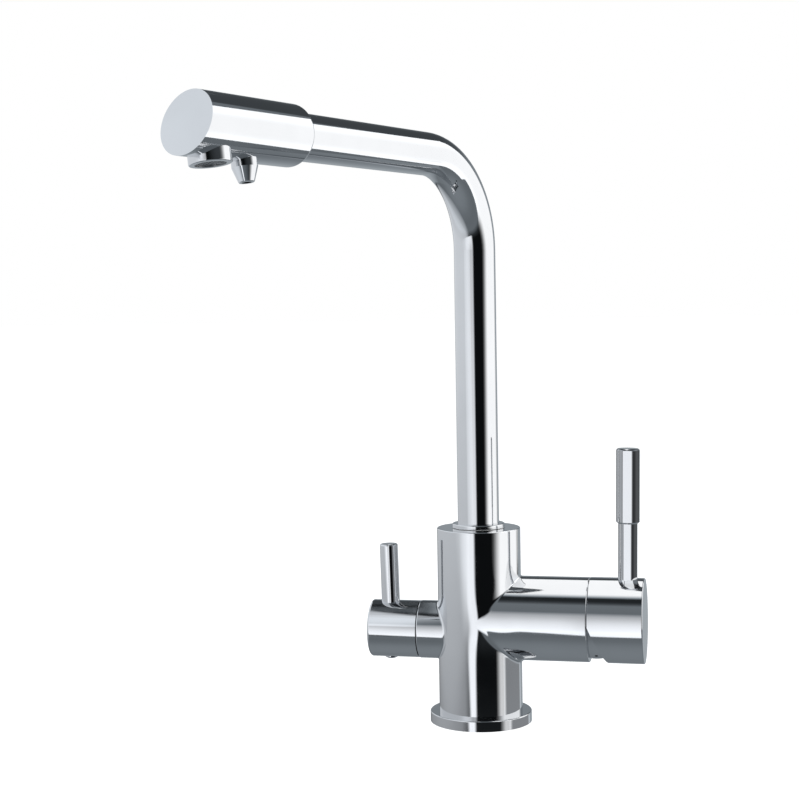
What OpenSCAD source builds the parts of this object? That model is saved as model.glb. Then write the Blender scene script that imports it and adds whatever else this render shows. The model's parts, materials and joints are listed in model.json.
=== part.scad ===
// Deck-mounted three-way kitchen mixer tap: hot and cold water are mixed by a
// side lever, filtered water has a lever and an outlet nozzle of its own.
// Z is up, the origin is the centre of the base on the worktop, the mixer
// branch points to +X and the side where the user stands is -Y.

/* [Body] */
// Radius of the upright body
body_r = 22.2; // [21:0.1:25]
// Height of the body above the worktop
body_top = 102.8; // [102:0.2:120]
// Height of the mixer branch axis
branch_z = 55; // [54:0.5:58]
// Body axis to the end face of the mixer branch
branch_len = 58.9; // [57:0.1:70]
// Radius of the filter valve stub
stub_r = 15.3; // [14.5:0.1:16]
// Body axis to the end face of the filter stub
stub_len = 32; // [31.9:0.1:40]
// Drop of the filter stub axis below the mixer branch axis
stub_drop = 7.4; // [6.9:0.1:8]
// Rounding of the outer rims
rim = 0.5; // [0.2:0.1:0.8]

/* [Base] */
// Width of the base ring outside the body
base_flange = 4.8; // [4.4:0.1:9]
// Height of the base ring
base_h = 5.5; // [4:0.5:9]
// Wall radius of the hose inlet holes, for M10 x 1
hose_r = 4.5; // [4:0.1:5]
// Depth of the hose inlet holes
hose_depth = 12; // [9:1:20]
// Hot and cold inlets: distance in front of the body axis towards the branch
hose_x = 8; // [7.5:0.1:9]
// Hot and cold inlets: distance to either side of the branch axis
hose_y = 7.5; // [7:0.1:8]
// Filtered inlet: distance behind the body axis towards the filter valve
filter_hose_x = 11.3; // [11:0.1:13]
// Wall radius of the fixing stud holes, for M8
stud_r = 3.4; // [3:0.1:3.5]
// Depth of the fixing stud holes
stud_depth = 14; // [10:1:20]
// Distance between the two fixing studs
stud_gap = 26; // [25:0.5:28]
// Fixing studs: distance from the body axis towards the filter valve
stud_x = 6; // [5:0.5:7]

/* [Cartridge] */
// Radius of the ceramic cartridge
cartridge_r = 17.5; // [17:0.1:17.6]
// Depth of the cartridge seat below the branch end face
seat_depth = 23.9; // [23.9:0.1:25]
// Thickness of the cartridge base
cartridge_base_t = 4; // [3.8:0.1:4]
// Thickness of the fixed ceramic disc
fixed_disc_t = 4; // [3.6:0.1:4]
// Radius of the moving ceramic disc
moving_disc_r = 10.9; // [10.8:0.1:11]
// Width across flats of the square spindle
spindle_w = 8; // [7:0.1:8.2]
// Radius of the pivot pin
pin_r = 1.5; // [1:0.1:1.7]
// Branch end face to the lever pivot
pivot_out = 3.1; // [2.8:0.1:3.5]
// Tilt of the main lever when fully open, in degrees
tilt_max = 22; // [18:1:22]

/* [Main lever] */
// Radius of the lever hub
hub_r = 22.2; // [21.8:0.1:24]
// Length of the lever hub
hub_len = 28.2; // [27.5:0.1:34]
// Branch end face to the lever rod, at the hub
lever_out = 19.8; // [19.6:0.1:21]
// Radius of the lever rod
rod_r = 5.07; // [4.6:0.01:5.2]
// Radius of the lever grip
grip_r = 6.2; // [5.6:0.1:8]
// Height of the lower end of the grip
grip_z = 106; // [98:0.5:112]
// Height of the top of the grip
grip_top = 145.2; // [130:0.2:165]
// Outward lean of the main lever, in degrees
lever_lean = 0.9; // [0:0.1:1.5]

/* [Filter valve] */
// Radius of the filter hub
filter_hub_r = 15.1; // [14.6:0.1:16]
// Length of the filter hub
filter_hub_len = 26.4; // [24:0.1:30]
// Stub end face to the filter lever, at the hub
filter_lever_out = 16.6; // [15.7:0.1:17]
// Radius of the filter lever
filter_lever_r = 4.9; // [4.2:0.1:5.2]
// Height of the top of the filter lever
filter_lever_top = 93.2; // [80:0.2:110]
// Outward lean of the filter lever, in degrees
filter_lever_lean = 1.4; // [0:0.1:2]
// Wall radius of the valve seat in the stub
valve_r = 9.5; // [9.2:0.1:9.8]
// Body axis to the bottom of the valve seat
valve_floor = 19; // [18.5:0.1:19.5]

/* [Spout] */
// Outer radius of the spout tube
tube_r = 11; // [10.5:0.1:11.2]
// Wall of the spout tube
tube_wall = 1; // [0.8:0.1:1.5]
// Height of the arm axis
arm_z = 298.4; // [220:0.2:340]
// Centre line radius of the bend
bend_r = 48; // [30:1:60]
// Turn of the spout to the filter side in the stored pose, in degrees
spout_swivel = 21; // [-60:0.1:60]
// Outer radius of the ring at the foot of the spout
collar_r = 14; // [13.9:0.1:16]
// Height of the ring at the foot of the spout
collar_h = 2.1; // [1.5:0.1:4]
// Outer radius of the inner filtered water tube
inner_r = 3; // [2.5:0.1:3.2]
// Wall of the inner filtered water tube
inner_wall = 1; // [0.6:0.1:1.2]

/* [Head] */
// Radius of the spout head
head_r = 14.3; // [14.1:0.1:15.5]
// Body axis to the rear edge of the head
head_start = 159.5; // [150:0.5:162]
// Body axis to the middle of the slanted end face
face_at = 230.5; // [230:0.5:245]
// Slant of the end face, in degrees, with its upper edge set back
face_slant = 17.9; // [0:0.1:19]
// Turn of the head about the arm, in degrees
head_roll = 7.8; // [-12:0.1:12]
// Rounding of the rear shoulder
shoulder = 2; // [1:0.1:3.2]
// Body axis to the aerator
aerator_at = 218.2; // [217.8:0.1:218.4]
// Outer radius of the aerator collar
aerator_r = 9.4; // [9:0.1:9.6]
// Arm axis to the lower rim of the aerator
aerator_drop = 17; // [16.2:0.1:19]
// Body axis to the filtered water nozzle
nozzle_at = 195.5; // [194:0.1:197]
// Arm axis to the tip of the nozzle
nozzle_drop = 23.5; // [21:0.1:28]
// Radius of the nozzle at its shoulder
nozzle_r = 5.8; // [5:0.1:6.2]
// Radius of the nozzle at its tip
nozzle_tip_r = 3.6; // [3:0.1:4.5]

/* [Clearances] */
// Radial play of parts that turn in one another
play = 0.05; // [0.03:0.01:0.08]
// Gap between faces of different turning parts
gap = 0.4; // [0.3:0.05:0.5]

/* [Hidden] */
$fn = 96;
e = 0.02;

// Places that follow from the sizes above
branch_r = body_r - 0.1;
stub_z = branch_z - stub_drop;
seat_x = branch_len - seat_depth;
pivot_x = branch_len + pivot_out;
hub_x = branch_len + gap;
lever_x = branch_len + lever_out;
filter_hub_x = stub_len + gap;
filter_lever_x = stub_len + filter_lever_out;

// Base
base_r = body_r + base_flange;
step_r = body_r - 1.5;
step_h = 2.5;
seal_in = step_r + 1.6;
seal_out = base_r - 2;
seal_h = 1.6;

// Water ways in the body
channel_r = 3;
port_ring = 8.4;
port_r = 1.9;
port_at = port_ring * cos(45);
port_channel_r = port_r + 0.2;
inlet_z = branch_z + port_at;
mixed_r = 2.8;
mixed_drop = 3;
mixed_z = branch_z - mixed_drop;
recess_r = port_ring - port_r - 0.2;
riser_r = 7;
riser_rise = 11;
riser_z = branch_z + riser_rise;
socket_rise = 14;
socket_z = riser_z + socket_rise;
socket_r = tube_r + 0.6;
filter_out_r = 2.2;
filter_out_z = stub_z + 7;
plug_hole_r = inner_r + 1.2;
plug_hole_z = filter_out_z - 3.5;

// Slip ring and retaining screw of the spout
slip_in = socket_r + 0.2;
slip_out = collar_r - 0.3;
slip_t = 1.05;
slip_depth = 0.8;
screw_z = socket_z + 10;
screw_r = 2.5;
ferrule_groove_r = tube_r - 1;

// Cartridge stack, as distances from the body axis
disc_x = seat_x + cartridge_base_t;
moving_x = disc_x + fixed_disc_t + play;
moving_t = 3.45;
plate_x = moving_x + moving_t;
plate_t = 2;
plate_r = 9.4;
flange_x = plate_x + plate_t + 0.3;
flange_t = 2.1;
ball_arm = 9;
ball_x = pivot_x - ball_arm;
ball_r = spindle_w / 2 - 1.1;
boss_r = ball_r + 2.5;
boss_x = ball_x + 1;
travel = ball_arm * sin(tilt_max);
cavity_r = cartridge_r - 2.9;
roof_x = flange_x + flange_t + 0.1;
roof_t = 1.4;
carrier_r = 11;
neck_r = carrier_r + 2.3;
neck_x = pivot_x + 4;
carrier_x = pivot_x + 6;
nut_wall = 0.7;
nut_r = cartridge_r + nut_wall;
cover_clearance = 2.5;
nut_x = roof_x + roof_t;
nut_end = branch_len - 1.2;
floor_seal_t = 1;

// Lever hub and the dome under it
cup_r = hub_r - 1.6;
dome_r = cup_r - gap;
dome_out = 6;
dome_end = pivot_x + dome_out;
spanner_hole_r = 0.9;
spanner_hole_depth = 2.5;
cup_x = pivot_x + 13;
relief = tilt_max + 2;
rod_seat = branch_z + hub_r - 1.2;
tenon_r = rod_r - 1.5;
spindle_end = cup_x + 7.5;

// Filter valve stack, as distances from the body axis
inlet_seal_t = 1.4;
filter_disc_x = valve_floor + inlet_seal_t;
filter_disc_t = 2.5;
filter_disc_r = valve_r - 2.9;
filter_moving_x = filter_disc_x + filter_disc_t + 0.02;
cage_r = valve_r - 1.3;
blade_x = filter_moving_x + filter_disc_t - 0.8;
shaft_x = filter_moving_x + filter_disc_t + 2.6;
filter_bore_r = 5.6;
filter_spindle_r = filter_bore_r - play;
body_seal_t = 1;
hex_x = stub_len + body_seal_t;
hex_t = 2.5;
hex_r = filter_hub_r - 3;
valve_neck_r = 6.9;
valve_end = stub_len + 8.5;
spline_r = 4;
circlip_t = 1;
filter_cup_r = filter_hub_r - 1.8;
filter_cup_x = valve_end + 1.6;
filter_seat = stub_z + filter_hub_r - 1.3;
filter_tenon_r = filter_lever_r - 2;
filter_ports_at = 3.2;
hub_screw_r = 2.5;
hub_screw_head_r = 3.8;
filter_hub_rim = 1.2;

// Spout
tube_in = tube_r - tube_wall;
foot_z = body_top - slip_depth + slip_t + play;
ferrule_r = socket_r - play;
ferrule_in = tube_r - 2.5;
ferrule_neck = 13;
ferrule_lift = 0.3;
ring_seal_h = 2;
ring_seal_play = 0.03;
seal_from_ends = [3, 6];
seal_heights = [socket_z + seal_from_ends[0], body_top - seal_from_ends[1]];
plug_r = plug_hole_r - play;
plug_z = filter_out_z + 3;
plug_h = riser_z - plug_z - 1;
inner_in = inner_r - inner_wall;

// Head
tube_end = head_start + 12;
chamber_r = 8;
chamber_end = aerator_at - aerator_r - 1.8;
passage_r = 4.2;
washer_h = 7;
washer_t = 1;
thread_r = aerator_r - 1.2;
waterway_r = thread_r - 1.9;
spot_h = head_r * 0.73;
insert_r = thread_r - 1;
post_r = 4;
post_end = 9.5;
nozzle_seat = head_r - 1.7;
nozzle_bore = 2.2;

// Placing helpers: each turns +Z of its children into the named direction
module along_branch(x) translate([x, 0, branch_z]) rotate([0, 90, 0]) children();
module along_stub(x) translate([-x, 0, stub_z]) rotate([0, -90, 0]) children();
module spout_frame() rotate([0, 0, -90 - spout_swivel]) children();
module head_frame() spout_frame() translate([0, 0, arm_z]) rotate([head_roll, 0, 0]) children();
module along_arm(x) translate([x, 0, 0]) rotate([0, 90, 0]) children();
module below_arm(x, drop) translate([x, 0, -drop]) children();

// Ring between two radii
module ring(r_out, r_in, h) {
    difference() {
        cylinder(r = r_out, h = h);
        translate([0, 0, -e]) cylinder(r = r_in, h = h + 2 * e);
    }
}

// Cylinder with rounded lower and upper rims
module turned(r, h, low, high) {
    rotate_extrude() difference() {
        square([r, h]);
        if (low > 0) translate([r - low, low]) difference() {
            translate([0, -low - e]) square([low + e, low + e]);
            circle(r = low);
        }
        if (high > 0) translate([r - high, h - high]) difference() {
            square([high + e, high + e]);
            circle(r = high);
        }
    }
}

// Tube path of the spout, upright then bent over into the arm
module spout_run(r, z0, x1) {
    translate([0, 0, z0]) cylinder(r = r, h = arm_z - bend_r - z0);
    translate([bend_r, 0, arm_z - bend_r])
        rotate([90, 0, 0])
            rotate([0, 0, 90])
                rotate_extrude(angle = 90) translate([bend_r, 0]) circle(r = r);
    translate([bend_r, 0, arm_z]) rotate([0, 90, 0]) cylinder(r = r, h = x1 - bend_r);
}

// Inlet channel from the worktop up to a height
module riser_from_base(x, y, top) {
    translate([x, y, -e]) cylinder(r = hose_r, h = hose_depth + e);
    translate([x, y, 0]) cylinder(r = channel_r, h = top);
}

// Places of the two inlet ports and the outlet port on the cartridge floor
module inlet_ports() for (side = [-1, 1]) translate([-port_at, side * port_at, 0]) children();
module outlet_port() translate([mixed_drop, 0, 0]) children();

module water_ways() {
    for (side = [-1, 1]) {
        riser_from_base(hose_x, side * hose_y, inlet_z + channel_r);
        translate([hose_x, side * port_at, inlet_z]) rotate([0, 90, 0])
            cylinder(r = port_channel_r, h = seat_x - hose_x + e);
    }
    rise = socket_z - 3 - mixed_z;
    run = seat_x + e;
    translate([run, 0, mixed_z]) rotate([0, -atan2(run, rise), 0])
        cylinder(r = mixed_r, h = sqrt(run * run + rise * rise));
    translate([0, 0, riser_z]) cylinder(r = riser_r, h = socket_z - riser_z + e);
    riser_from_base(-filter_hose_x, 0, stub_z + channel_r);
    translate([-valve_floor - e, 0, stub_z]) rotate([0, 90, 0])
        cylinder(r = channel_r, h = valve_floor - filter_hose_x);
    translate([-valve_floor - 3, 0, filter_out_z]) rotate([0, 90, 0])
        cylinder(r = filter_out_r, h = valve_floor + 3);
    translate([0, 0, plug_hole_z]) cylinder(r = plug_hole_r, h = riser_z - plug_hole_z + e);
}

module mixer_body() {
    color("silver") difference() {
        union() {
            turned(body_r, body_top, 0, rim);
            along_branch(0) turned(branch_r, branch_len, 0, rim);
            along_stub(0) turned(stub_r, stub_len, 0, rim);
        }
        translate([0, 0, -e]) ring(body_r + 1, step_r, step_h + e);
        water_ways();
        translate([0, 0, socket_z]) cylinder(r = socket_r, h = body_top - socket_z + e);
        translate([0, 0, body_top - slip_depth]) cylinder(r = slip_out, h = slip_depth + e);
        translate([0, body_r + e, screw_z]) rotate([90, 0, 0])
            cylinder(r = screw_r, h = body_r - socket_r + 1);
        along_branch(seat_x) cylinder(r = cartridge_r, h = seat_depth + e);
        along_branch(nut_x) cylinder(r = nut_r, h = branch_len - nut_x + e);
        along_stub(valve_floor) cylinder(r = valve_r, h = stub_len - valve_floor + e);
        for (side = [-1, 1]) translate([-stud_x, side * stud_gap / 2, -e])
            cylinder(r = stud_r, h = stud_depth + e);
    }
}

module base_ring() {
    color("silver") difference() {
        turned(base_r, base_h, 0, rim);
        translate([0, 0, -e]) cylinder(r = step_r, h = step_h + 2 * e);
        translate([0, 0, step_h]) cylinder(r = body_r, h = base_h);
        translate([0, 0, -e]) ring(seal_out, seal_in, seal_h + e);
    }
}

module base_seal() color("dimgray") ring(seal_out, seal_in, seal_h);

module slip_ring() {
    color("white") translate([0, 0, body_top - slip_depth]) ring(slip_out - play, slip_in, slip_t);
}

// Grub screw whose tip runs in the groove of the spout ferrule
module spout_retaining_screw() {
    tip_r = screw_r - 0.7;
    reach = body_r - 1 - socket_r;
    color("gray") translate([0, body_r - 1, screw_z]) rotate([90, 0, 0]) difference() {
        union() {
            cylinder(r = screw_r, h = reach);
            cylinder(r = tip_r, h = reach + socket_r - ferrule_groove_r - 0.4);
        }
        translate([0, 0, -e]) cylinder(r = 1.4, h = 2.5, $fn = 6);
    }
}

module cartridge_base() {
    color("ivory") along_branch(seat_x) difference() {
        cylinder(r = cartridge_r, h = cartridge_base_t);
        inlet_ports() translate([0, 0, -e]) cylinder(r = port_r, h = cartridge_base_t + 2 * e);
        inlet_ports() translate([0, 0, -e]) cylinder(r = port_r + 2, h = floor_seal_t + e);
        outlet_port() translate([0, 0, -e]) cylinder(r = mixed_r, h = cartridge_base_t + 2 * e);
        outlet_port() translate([0, 0, -e]) cylinder(r = mixed_r + 1.8, h = floor_seal_t + e);
    }
}

module cartridge_seals() {
    color("dimgray") along_branch(seat_x) {
        inlet_ports() ring(port_r + 2, port_r + 0.5, floor_seal_t);
        outlet_port() ring(mixed_r + 1.8, mixed_r + 0.4, floor_seal_t);
    }
}

module cartridge_housing() {
    color("ivory") difference() {
        union() {
            along_branch(disc_x) cylinder(r = cartridge_r, h = nut_x - disc_x);
            along_branch(nut_x - e) cylinder(r = neck_r, h = neck_x - nut_x + e);
        }
        along_branch(disc_x - e) cylinder(r = cavity_r, h = roof_x - disc_x + e);
        along_branch(roof_x - e) cylinder(r = carrier_r + play, h = neck_x - roof_x + 2 * e);
    }
}

module fixed_disc() {
    color("white") along_branch(disc_x) difference() {
        cylinder(r = cavity_r, h = fixed_disc_t);
        inlet_ports() translate([0, 0, -e]) cylinder(r = port_r, h = fixed_disc_t + 2 * e);
        outlet_port() translate([0, 0, -e]) cylinder(r = mixed_r, h = fixed_disc_t + 2 * e);
    }
}

module cartridge_nut() {
    color("goldenrod") along_branch(nut_x) difference() {
        ring(nut_r, neck_r, nut_end - nut_x);
        for (a = [0 : 60 : 300]) rotate(a) translate([nut_r - 1.7, 0, nut_end - nut_x - 2])
            cylinder(r = 1, h = 2 + e);
    }
}

// Chromed cover whose outside is a ball about the lever pivot
module dome_cover() {
    spanner_angle = 56;
    inside_r = neck_r + cover_clearance;
    color("silver") difference() {
        union() {
            along_branch(nut_end) cylinder(r = nut_r, h = branch_len - nut_end + e);
            intersection() {
                translate([pivot_x, 0, branch_z]) sphere(r = dome_r, $fn = 128);
                along_branch(branch_len) cylinder(r = hub_r, h = dome_end - branch_len);
            }
        }
        along_branch(nut_end - e) cylinder(r = inside_r, h = dome_end - nut_end + 2 * e);
        for (side = [0, 180]) translate([pivot_x + 1, 0, branch_z])
            rotate([side + spanner_angle, 0, 0]) rotate([90, 0, 0])
                translate([0, 0, dome_r - spanner_hole_depth])
                    cylinder(r = spanner_hole_r, h = spanner_hole_depth + 1);
    }
}

module filter_valve_body() {
    color("goldenrod") difference() {
        union() {
            along_stub(filter_disc_x) cylinder(r = cage_r, h = shaft_x - filter_disc_x);
            along_stub(shaft_x - e) cylinder(r = valve_r, h = stub_len - shaft_x + 2 * e);
            along_stub(stub_len) cylinder(r = valve_r, h = body_seal_t);
            along_stub(hex_x) cylinder(r = hex_r, h = hex_t, $fn = 6);
            along_stub(hex_x) cylinder(r = valve_neck_r, h = valve_end - hex_x);
        }
        along_stub(filter_disc_x - e) cylinder(r = filter_disc_r, h = shaft_x - filter_disc_x + e);
        along_stub(shaft_x - e) cylinder(r = filter_bore_r, h = valve_end - shaft_x + 2 * e);
        along_stub(filter_moving_x + 0.5) for (a = [45 : 90 : 315]) rotate(a)
            translate([cage_r - 3, -2.2, 0]) cube([4, 4.4, shaft_x - filter_moving_x - 1]);
    }
}

module filter_body_seal() {
    color("dimgray") along_stub(stub_len) ring(valve_r + 1.8, valve_r, body_seal_t);
}

module filter_inlet_seal() {
    color("dimgray") along_stub(valve_floor) ring(filter_disc_r - 0.2, channel_r + 0.6, inlet_seal_t);
}

module filter_fixed_disc() {
    color("white") along_stub(filter_disc_x) difference() {
        cylinder(r = filter_disc_r, h = filter_disc_t);
        for (side = [-1, 1]) translate([0, side * filter_ports_at, -e])
            cylinder(r = 1.6, h = filter_disc_t + 2 * e);
    }
}

// Carrier that turns in the housing and holds the pivot pin; the spindle
// tilts in its slot and the driver boss slides in its lower slot
module cartridge_carrier() {
    w = spindle_w / 2 + 0.3;
    s = sin(tilt_max);
    c = cos(tilt_max);
    low = boss_x + 0.2 - pivot_x;
    high = carrier_x - pivot_x + e;
    color("whitesmoke") difference() {
        union() {
            along_branch(flange_x) cylinder(r = cavity_r - 0.2, h = flange_t);
            along_branch(flange_x + flange_t - e)
                cylinder(r = carrier_r, h = carrier_x - flange_x - flange_t + e);
        }
        for (up = [0, travel + 0.1]) translate([0, 0, up]) along_branch(flange_x - e)
            cylinder(r = boss_r + 0.2, h = boss_x + 0.2 - flange_x + e);
        translate([flange_x - e, -boss_r - 0.2, branch_z])
            cube([boss_x + 0.2 - flange_x + e, 2 * boss_r + 0.4, travel + 0.1]);
        translate([pivot_x, w - 0.15, branch_z]) rotate([90, 0, 0])
            linear_extrude(2 * w - 0.3) polygon([
                [low - e, -w], [-w * s, -w], [high, -w / c - high * s / c], [high, w],
                [w * s, w], [low / 2, w / c - low / 2 * s / c], [low - e, w / c - low / 2 * s / c]]);
        translate([pivot_x, carrier_r, branch_z]) rotate([90, 0, 0])
            cylinder(r = pin_r, h = 2 * carrier_r);
    }
}

module pivot_pin() {
    len = 2 * carrier_r - 2;
    color("gray") translate([pivot_x, len / 2, branch_z]) rotate([90, 0, 0])
        cylinder(r = pin_r, h = len);
}

// Its round recess lies inside the inlet ports when closed, at any mixing
// angle, and slides over them when the lever is tilted
module moving_disc() {
    color("white") along_branch(moving_x) difference() {
        cylinder(r = moving_disc_r, h = moving_t);
        translate([0, 0, -e]) cylinder(r = recess_r, h = 2);
    }
}

module disc_driver() {
    color("ivory") difference() {
        union() {
            along_branch(plate_x) cylinder(r = plate_r, h = plate_t);
            along_branch(plate_x) cylinder(r = boss_r, h = boss_x - plate_x);
        }
        along_branch(ball_x - ball_r - 0.2) cylinder(r = ball_r + 0.1, h = 2 * ball_r + 2);
    }
}

// Square spindle with a cross hole at the pivot and a ball at its inner end
module cartridge_spindle() {
    square_x = pivot_x - 6;
    color("gray") difference() {
        union() {
            translate([square_x, -spindle_w / 2, branch_z - spindle_w / 2])
                cube([spindle_end - square_x, spindle_w, spindle_w]);
            along_branch(ball_x) cylinder(r = ball_r - 0.8, h = square_x - ball_x + e);
            translate([ball_x, 0, branch_z]) sphere(r = ball_r);
        }
        translate([pivot_x, spindle_w, branch_z]) rotate([90, 0, 0])
            cylinder(r = pin_r + play, h = 2 * spindle_w);
    }
}

// Places its children at the foot of the main lever, leaning outwards
module lever_foot() translate([lever_x, 0, rod_seat]) rotate([0, lever_lean, 0]) children();

module lever_hub() {
    fall = 2 * hub_r;
    color("silver") difference() {
        along_branch(hub_x) turned(hub_r, hub_len, 0, rim);
        along_branch(hub_x - e) cylinder(r = cup_r, h = cup_x - hub_x + e);
        translate([hub_x, hub_r + 1, branch_z - 0.5]) rotate([90, 0, 0])
            linear_extrude(2 * hub_r + 2)
                polygon([[-1, 0], [0, 0], [fall * tan(relief), -fall], [-1, -fall]]);
        translate([cup_x - e, -spindle_w / 2, branch_z - spindle_w / 2])
            cube([spindle_end - cup_x + e, spindle_w, spindle_w]);
        lever_foot() cylinder(r = rod_r, h = hub_r);
        lever_foot() translate([0, 0, -rod_seat + branch_z + spindle_w / 2])
            cylinder(r = tenon_r, h = hub_r);
        translate([lever_x, 0, branch_z - hub_r - 1])
            cylinder(r = screw_r, h = hub_r + 1 - spindle_w / 2);
    }
}

// Hidden grub screw from below that clamps the hub to the spindle
module lever_hub_screw() {
    len = 12;
    color("gray") translate([lever_x, 0, branch_z - spindle_w / 2 - len]) difference() {
        cylinder(r = screw_r, h = len);
        translate([0, 0, -e]) cylinder(r = 1.4, h = 2.5, $fn = 6);
    }
}

module lever_rod() {
    color("silver") lever_foot() {
        turned(rod_r, grip_z - rod_seat, 0, 0);
        translate([0, 0, -cup_r + spindle_w / 2 + 1]) cylinder(r = tenon_r, h = cup_r - spindle_w / 2);
        cylinder(r = rod_r - 2, h = grip_z - rod_seat + 11);
    }
}

module lever_grip() {
    color("silver") lever_foot() translate([0, 0, grip_z - rod_seat]) difference() {
        turned(grip_r, grip_top - grip_z, 0.8, 0.8);
        translate([0, 0, -e]) cylinder(r = rod_r - 2, h = 11 + e);
    }
}

module filter_moving_disc() {
    color("white") along_stub(filter_moving_x) difference() {
        cylinder(r = filter_disc_r - 0.08, h = filter_disc_t);
        for (side = [-1, 1]) translate([side * filter_ports_at, 0, -e])
            cylinder(r = 1.6, h = filter_disc_t + 2 * e);
        translate([-1, -3.5, filter_disc_t - 0.8]) cube([2, 7, 1]);
    }
}

module filter_spindle() {
    color("gray") difference() {
        union() {
            along_stub(shaft_x) cylinder(r = filter_spindle_r, h = valve_end - shaft_x + e);
            along_stub(valve_end) cylinder(r = spline_r, h = filter_hub_x + filter_hub_len - 5 - valve_end);
            along_stub(blade_x) translate([-1, -3.5, 0]) cube([2, 7, shaft_x - blade_x + e]);
        }
        along_stub(valve_end - 9) ring(filter_bore_r + 1, filter_spindle_r - 1, 1.5);
        along_stub(valve_end - 5.5) ring(filter_bore_r + 1, filter_spindle_r - 1, 1.5);
        along_stub(valve_end + 0.1) ring(filter_bore_r + 1, spline_r - 0.5, circlip_t);
    }
}

module filter_spindle_seals() {
    color("dimgray") {
        along_stub(valve_end - 9) ring(filter_spindle_r + 0.02, filter_spindle_r - 1, 1.5);
        along_stub(valve_end - 5.5) ring(filter_spindle_r + 0.02, filter_spindle_r - 1, 1.5);
    }
}

module filter_circlip() {
    color("gray") along_stub(valve_end + 0.1) difference() {
        ring(filter_bore_r + 0.8, spline_r - 0.5, circlip_t);
        translate([0, -1.2, -e]) cube([10, 2.4, circlip_t + 2 * e]);
    }
}

// Places its children at the foot of the filter lever, leaning outwards
module filter_foot() {
    translate([-filter_lever_x, 0, filter_seat]) rotate([0, -filter_lever_lean, 0]) children();
}

module filter_hub() {
    color("silver") difference() {
        along_stub(filter_hub_x) turned(filter_hub_r, filter_hub_len, 0, filter_hub_rim);
        along_stub(filter_hub_x - e) cylinder(r = filter_cup_r, h = filter_cup_x - filter_hub_x + e);
        along_stub(filter_hub_x) cylinder(r = spline_r, h = filter_hub_len - 5);
        filter_foot() cylinder(r = filter_lever_r, h = filter_hub_r);
        filter_foot() translate([0, 0, -filter_seat + stub_z]) cylinder(r = filter_tenon_r, h = filter_hub_r);
        translate([-filter_lever_x, 0, stub_z - filter_hub_r - 1]) {
            cylinder(r = hub_screw_head_r, h = 2);
            cylinder(r = hub_screw_r, h = filter_hub_r);
        }
    }
}

// Dome-headed screw under the filter hub that clamps it to the spindle
module filter_hub_screw() {
    cap = 1.3;
    cap_r = (hub_screw_head_r * hub_screw_head_r + cap * cap) / (2 * cap);
    head_z = stub_z - filter_hub_r + 1;
    color("gray") translate([-filter_lever_x, 0, head_z]) difference() {
        union() {
            cylinder(r = hub_screw_r, h = filter_hub_r - 1 - spline_r);
            translate([0, 0, -1]) cylinder(r = hub_screw_head_r, h = 1);
            translate([0, 0, -1 - cap]) intersection() {
                translate([0, 0, cap_r]) sphere(r = cap_r);
                cylinder(r = hub_screw_head_r, h = cap + e);
            }
        }
        translate([0, 0, -1 - cap - e]) cylinder(r = 1.2, h = 1.8, $fn = 6);
    }
}

module filter_lever() {
    color("silver") filter_foot() {
        turned(filter_lever_r, filter_lever_top - filter_seat, 0, 0.7);
        translate([0, 0, -filter_hub_r + spline_r + 1.5])
            cylinder(r = filter_tenon_r, h = filter_hub_r - spline_r - 1);
    }
}

module spout_tube() {
    color("silver") spout_frame() difference() {
        spout_run(tube_r, foot_z, tube_end);
        spout_run(tube_in, foot_z - 1, tube_end + 1);
    }
}

module spout_collar() {
    color("silver") translate([0, 0, foot_z]) difference() {
        turned(collar_r, collar_h, 0, 0.6);
        translate([0, 0, -e]) cylinder(r = tube_r, h = collar_h + 2 * e);
    }
}

module ring_groove(z, h, r_in) translate([0, 0, z]) ring(socket_r + 1, r_in, h);

module spout_ferrule() {
    color("goldenrod") difference() {
        union() {
            translate([0, 0, socket_z + ferrule_lift])
                cylinder(r = ferrule_r, h = foot_z - socket_z - ferrule_lift);
            translate([0, 0, foot_z - e]) cylinder(r = tube_in, h = ferrule_neck + e);
        }
        translate([0, 0, socket_z]) cylinder(r = ferrule_in, h = foot_z + ferrule_neck - socket_z + 1);
        ring_groove(screw_z - screw_r, 2 * screw_r, ferrule_groove_r);
        for (z = seal_heights) ring_groove(z, ring_seal_h, ferrule_groove_r);
    }
}

module spout_seals() {
    color("dimgray") for (z = seal_heights)
        translate([0, 0, z]) ring(socket_r - ring_seal_play, ferrule_groove_r, ring_seal_h);
}

module inner_tube() {
    color("white") spout_frame() difference() {
        spout_run(inner_r, plug_z, nozzle_at - 1);
        spout_run(inner_in, plug_z - 1, nozzle_at);
    }
}

module inner_tube_plug() {
    color("goldenrod") translate([0, 0, plug_z]) difference() {
        ring(plug_r, inner_r, plug_h);
        translate([0, 0, 2]) ring(plug_r + 1, plug_r - 0.7, 1.4);
    }
}

module inner_tube_seal() {
    color("dimgray") translate([0, 0, plug_z + 2]) ring(plug_hole_r - 0.03, plug_r - 0.7, 1.4);
}

module spout_head() {
    reach = face_at + head_r;
    color("silver") head_frame() difference() {
        along_arm(head_start) turned(head_r, reach - head_start, shoulder, 0);
        translate([face_at, 0, 0]) rotate([0, -face_slant, 0])
            translate([0, -2 * head_r, -3 * head_r]) cube([4 * head_r, 4 * head_r, 6 * head_r]);
        along_arm(head_start - e) cylinder(r = tube_r, h = tube_end - head_start + e);
        along_arm(tube_end - e) cylinder(r = chamber_r, h = chamber_end - tube_end + e);
        along_arm(chamber_end - e) cylinder(r = passage_r, h = aerator_at - chamber_end - 2);
        below_arm(aerator_at, head_r + 1) {
            cylinder(r = aerator_r, h = head_r + 1 - spot_h);
            cylinder(r = thread_r, h = head_r + 1 - washer_h);
            cylinder(r = waterway_r, h = head_r + 1 + passage_r + 0.8);
        }
        below_arm(nozzle_at, head_r + 1) {
            cylinder(r = nozzle_r, h = head_r + 1 - nozzle_seat);
            cylinder(r = post_r, h = head_r - chamber_r + 2);
        }
    }
}

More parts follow.
